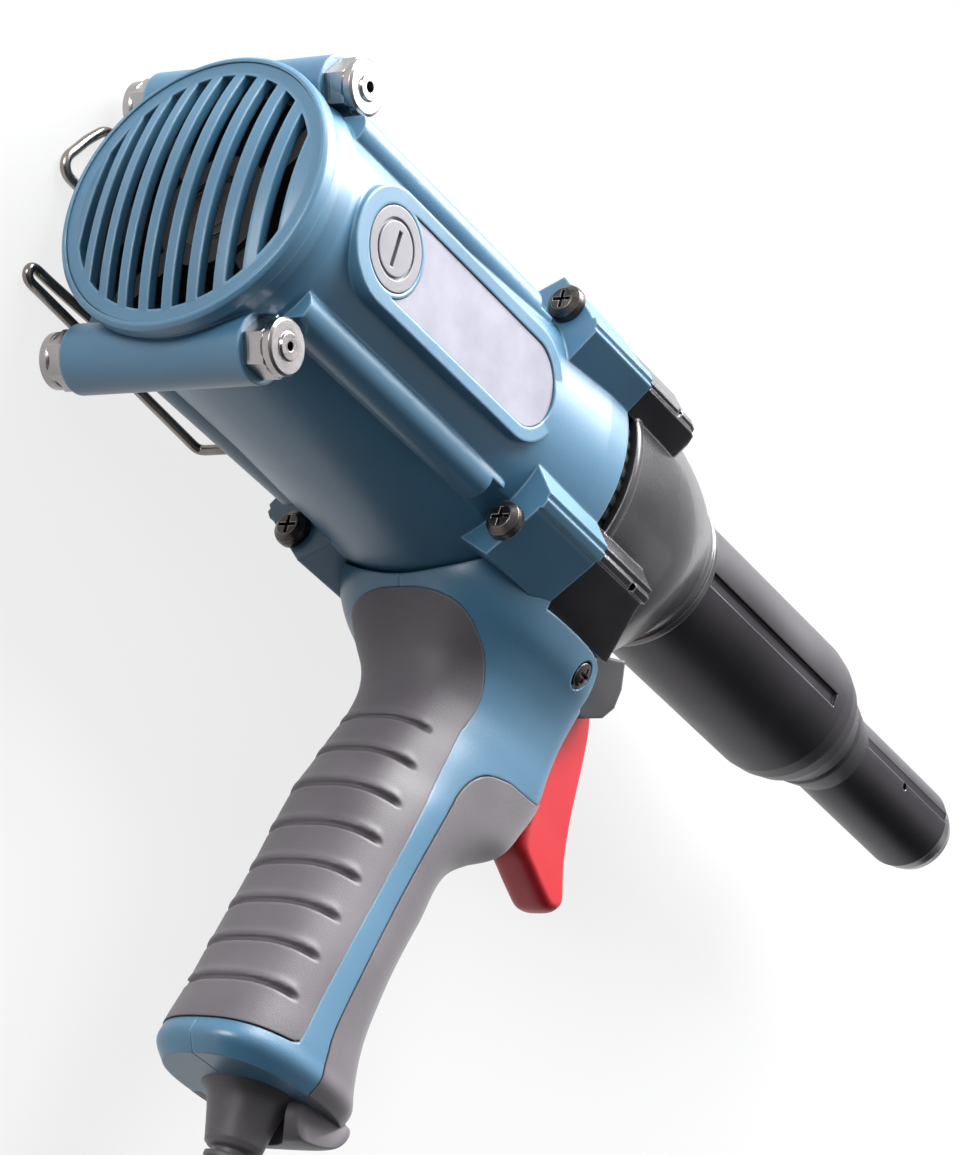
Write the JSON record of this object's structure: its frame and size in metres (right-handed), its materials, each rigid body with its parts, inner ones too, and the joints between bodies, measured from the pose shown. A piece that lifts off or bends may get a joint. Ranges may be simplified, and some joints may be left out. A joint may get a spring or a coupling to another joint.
{
  "type": "electric riveter",
  "caption": "Corded pistol-grip riveting tool: round motor housing, offset gear case, stepped nose with a nosepiece, red trigger and a coiled lead.",
  "frame": {"origin": "centre of the fitted nosepiece's mouth, on the nose axis", "axes": "+X along the barrel and out of the nose, +Y towards the tool's top, away from the handle, +Z out of the tool's right side, up when it lies on its left side on a bench"},
  "size_m": [0.359, 0.4411, 0.0803],
  "materials": {
    "housing_blue": "lightly grained blue-grey plastic",
    "rubber_grey": "warm grey soft grip",
    "case_grey": "glossy dark grey cover",
    "nose_black": "satin black-grey",
    "steel": "machined",
    "dark_steel": "oiled",
    "trigger_red": "red",
    "label_white": "blank label",
    "cap_grey": "light grey",
    "screw_black": "blackened",
    "black_plastic": "black",
    "ring_black": "black",
    "aluminium": "cast",
    "copper": "copper wire and bars",
    "bronze": "bronze",
    "fan_white": "off-white",
    "carbon": "carbon",
    "cord_black": "black rubber",
    "boot_black": "black rubber"
  },
  "bodies": {
    "tool": {"motor_housing": "housing_blue", "rear_grille": "housing_blue", "label_plate": "label_white", "brush_caps": "cap_grey", "housing_screws": "screw_black", "air_ring": "ring_black", "bearing_bracket": "black_plastic", "rear_bearing": "steel", "front_bearing": "steel", "stator_core": "dark_steel", "field_coils": "copper", "brush_holders": "bronze", "carbon_brushes": "carbon", "gear_plate": "aluminium", "gear_case": "case_grey", "lay_bushes": "bronze", "thrust_bearing": "steel", "nut_bearing": "steel", "nose_sleeve": "nose_black", "nose_tube": "nose_black", "nose_cap": "steel", "fitted_nosepiece": "steel", "spare_nosepieces_right": "steel", "spare_nosepieces_left": "steel", "handle_right": "housing_blue", "handle_cover": "housing_blue", "cover_screws": "screw_black", "saddle_screws": "screw_black", "rear_grip": "rubber_grey", "front_grip": "rubber_grey", "trigger_guard": "case_grey", "trigger_pin": "steel", "trigger_spring": "steel", "switch_body": "black_plastic", "strain_relief": "boot_black", "cord_clamp": "black_plastic", "hanging_hook": "screw_black", "cord": "cord_black", "cord_coil": "cord_black", "cord_tie": "black_plastic", "plug_body": "cord_black", "plug_pins": "steel"},
    "trigger_lever": {"trigger": "trigger_red"},
    "switch_slider": {"switch_plunger": "fan_white"},
    "rotor": {"rotor_shaft": "steel", "rotor_core": "dark_steel", "rotor_windings": "copper", "commutator": "copper", "fan": "fan_white"},
    "lay_shaft": {"lay_gear": "steel"},
    "nut": {"spindle_nut": "dark_steel"},
    "puller": {"pull_screw": "dark_steel", "jaw_case": "dark_steel", "jaw_spring": "steel"},
    "pusher": {"jaw_pusher": "steel"},
    "jaw_a": {"jaw_1": "dark_steel"},
    "jaw_b": {"jaw_2": "dark_steel"},
    "jaw_c": {"jaw_3": "dark_steel"}
  },
  "joints": [
    {"name": "trigger_pull", "type": "hinge", "parent": "tool", "child": "trigger_lever", "pos_m": [-0.1755, -0.0462, 0], "axis": [0, 0, 1], "range_deg": [-7, 0], "stiffness_Nm_per_rad": 1.2, "springref_deg": 14.32},
    {"name": "plunger_slide", "type": "slide", "parent": "tool", "child": "switch_slider", "axis": [1, 0, 0], "range_m": [-0.0036, 0], "deforming": ["trigger_spring"]},
    {"name": "rotor_spin", "type": "hinge", "parent": "tool", "child": "rotor", "pos_m": [-0.2935, -0.0112, 0], "axis": [1, 0, 0], "range_deg": [0, 12240]},
    {"name": "lay_spin", "type": "hinge", "parent": "tool", "child": "lay_shaft", "pos_m": [-0.2085, -0.026, 0], "axis": [1, 0, 0], "range_deg": [-4540, 0]},
    {"name": "nut_spin", "type": "hinge", "parent": "tool", "child": "nut", "pos_m": [-0.1935, 0, 0], "axis": [1, 0, 0], "range_deg": [0, 1080]},
    {"name": "pull_slide", "type": "slide", "parent": "tool", "child": "puller", "axis": [1, 0, 0], "range_m": [-0.018, 0]},
    {"name": "pusher_slide", "type": "slide", "parent": "puller", "child": "pusher", "axis": [1, 0, 0], "range_m": [-0.003, 0], "stiffness_N_per_m": 800, "springref_m": 0.003, "deforming": ["jaw_spring"]},
    {"name": "jaw_slide_1", "type": "slide", "parent": "puller", "child": "jaw_a", "axis": [-0.9806, 0.1961, 0], "range_m": [0, 0.0031]},
    {"name": "jaw_slide_2", "type": "slide", "parent": "puller", "child": "jaw_b", "axis": [-0.9806, -0.0981, 0.1698], "range_m": [0, 0.0031]},
    {"name": "jaw_slide_3", "type": "slide", "parent": "puller", "child": "jaw_c", "axis": [-0.9806, -0.0981, -0.1698], "range_m": [0, 0.0031]}
  ],
  "couplings": [
    {"joint": "lay_spin", "follows": "rotor_spin", "ratio": -0.37037},
    {"joint": "nut_spin", "follows": "rotor_spin", "ratio": 0.088183},
    {"joint": "pull_slide", "follows": "rotor_spin", "m_per_rad": -0.000084209},
    {"joint": "plunger_slide", "follows": "trigger_pull", "m_per_rad": 0.029},
    {"joint": "jaw_slide_1", "follows": "pusher_slide", "ratio": -1.0198},
    {"joint": "jaw_slide_2", "follows": "pusher_slide", "ratio": -1.0198},
    {"joint": "jaw_slide_3", "follows": "pusher_slide", "ratio": -1.0198}
  ]
}
